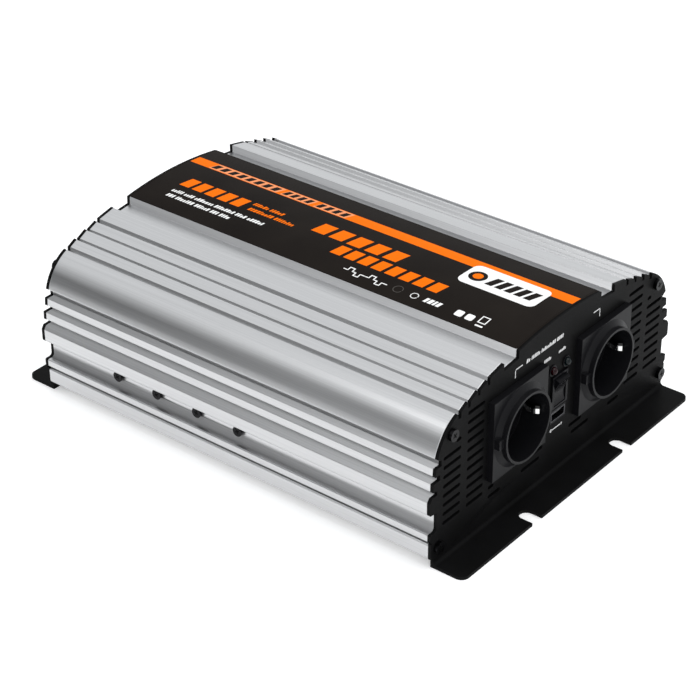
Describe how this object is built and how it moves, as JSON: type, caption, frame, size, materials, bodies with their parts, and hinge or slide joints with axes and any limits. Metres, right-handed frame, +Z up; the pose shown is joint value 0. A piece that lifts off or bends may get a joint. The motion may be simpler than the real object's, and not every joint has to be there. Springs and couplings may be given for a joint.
{
  "type": "power inverter",
  "caption": "Ribbed aluminium DC to AC power inverter with sockets, rocker switch, status lamps and USB outlet in front, fans and screw terminals at the rear.",
  "frame": {"origin": "middle of the whole object on the plane of the flanges' undersides", "axes": "+X across the case, +Y along it from the socket end to the terminal end, +Z up"},
  "size_m": [0.2328, 0.325, 0.1028],
  "materials": {
    "case_aluminium": "silver anodised, fine extrusion lines",
    "plate_black": "satin black powder coat",
    "label_film": "dark printed film, orange band",
    "screw_black": "black oxide",
    "screw_steel": "zinc plated",
    "brass_plain": "plain brass",
    "socket_plastic": "satin moulded black",
    "clip_steel": "bright nickel",
    "switch_plastic": "gloss black",
    "lamp_red": "tinted diffused lens",
    "lamp_green": "tinted diffused lens",
    "usb_steel": "dark nickel",
    "tongue_plastic": "dark moulded",
    "fan_plastic": "black moulded",
    "terminal_black": "black moulded",
    "terminal_red": "red moulded",
    "board_green": "solder mask",
    "ferrite": "dark ferrite",
    "copper_winding": "enamelled copper",
    "capacitor_sleeve": "heat-shrink sleeve",
    "fuse_plastic": "translucent amber",
    "pad_grey": "soft grey",
    "epoxy_black": "moulded epoxy",
    "bar_aluminium": "mill finish",
    "lead_red": "soft insulation",
    "lead_grey": "soft insulation"
  },
  "bodies": {
    "case": {"upper_case": "case_aluminium", "bottom_tray": "case_aluminium", "front_plate": "plate_black", "rear_plate": "plate_black", "top_label": "label_film", "front_plate_screws": "screw_black", "rear_plate_screws": "screw_black", "clamp_screws_left": "screw_black", "clamp_screws_right": "screw_black", "fan_screws": "screw_black", "tray_screws": "screw_black", "board_screws": "screw_steel", "board_standoffs": "brass_plain", "ac_socket_left": "socket_plastic", "ac_socket_right": "socket_plastic", "earth_clips_left": "clip_steel", "earth_clips_right": "clip_steel", "contact_sleeves_left": "brass_plain", "contact_sleeves_right": "brass_plain", "socket_cover_left": "socket_plastic", "socket_cover_right": "socket_plastic", "switch_housing": "switch_plastic", "switch_terminals": "brass_plain", "fault_lamp": "lamp_red", "power_lamp": "lamp_green", "lamp_rings": "switch_plastic", "usb_frame": "socket_plastic", "usb_shell": "usb_steel", "usb_tongue": "tongue_plastic", "fan_frame_left": "fan_plastic", "fan_frame_right": "fan_plastic", "terminal_base_left": "terminal_black", "terminal_base_right": "terminal_red", "terminal_stud_left": "brass_plain", "terminal_stud_right": "brass_plain", "earth_stud": "screw_steel", "earth_nut": "screw_steel", "main_board": "board_green", "control_board": "board_green", "transformer_cores": "ferrite", "transformer_windings": "copper_winding", "filter_inductor": "copper_winding", "input_capacitors": "capacitor_sleeve", "bus_capacitors": "capacitor_sleeve", "input_fuses": "fuse_plastic", "thermal_pads": "pad_grey", "transistors_left": "epoxy_black", "transistors_right": "epoxy_black", "clamp_bar_left": "bar_aluminium", "clamp_bar_right": "bar_aluminium", "dc_leads": "lead_red", "ac_leads": "lead_grey"},
    "rocker": {"rocker": "switch_plastic"},
    "fan_rotor_left": {"fan_rotor_left": "fan_plastic"},
    "fan_rotor_right": {"fan_rotor_right": "fan_plastic"},
    "terminal_washer_left": {"terminal_washer_left": "brass_plain"},
    "terminal_washer_right": {"terminal_washer_right": "brass_plain"},
    "terminal_knob_left": {"terminal_knob_left": "terminal_black"},
    "terminal_knob_right": {"terminal_knob_right": "terminal_red"}
  },
  "joints": [
    {"name": "rocker_tilt", "type": "hinge", "parent": "case", "child": "rocker", "pos_m": [0, -0.14215, 0.056], "axis": [-1, 0, 0], "range_deg": [0, 22]},
    {"name": "fan_spin_left", "type": "hinge", "parent": "case", "child": "fan_rotor_left", "pos_m": [-0.062, 0.13265, 0.0462], "axis": [0, 1, 0], "continuous": true},
    {"name": "fan_spin_right", "type": "hinge", "parent": "case", "child": "fan_rotor_right", "pos_m": [0.062, 0.13265, 0.0462], "axis": [0, 1, 0], "continuous": true},
    {"name": "washer_travel_left", "type": "slide", "parent": "case", "child": "terminal_washer_left", "axis": [0, 1, 0], "range_m": [0, 0.0051]},
    {"name": "knob_turn_left", "type": "hinge", "parent": "terminal_washer_left", "child": "terminal_knob_left", "pos_m": [-0.015, 0.15265, 0.05], "axis": [0, 1, 0], "range_deg": [0, 1440]},
    {"name": "washer_travel_right", "type": "slide", "parent": "case", "child": "terminal_washer_right", "axis": [0, 1, 0], "range_m": [0, 0.0051]},
    {"name": "knob_turn_right", "type": "hinge", "parent": "terminal_washer_right", "child": "terminal_knob_right", "pos_m": [0.015, 0.15265, 0.05], "axis": [0, 1, 0], "range_deg": [0, 1440]}
  ],
  "couplings": [
    {"joint": "washer_travel_left", "follows": "knob_turn_left", "m_per_rad": 0.00019894},
    {"joint": "washer_travel_right", "follows": "knob_turn_right", "m_per_rad": 0.00019894}
  ]
}
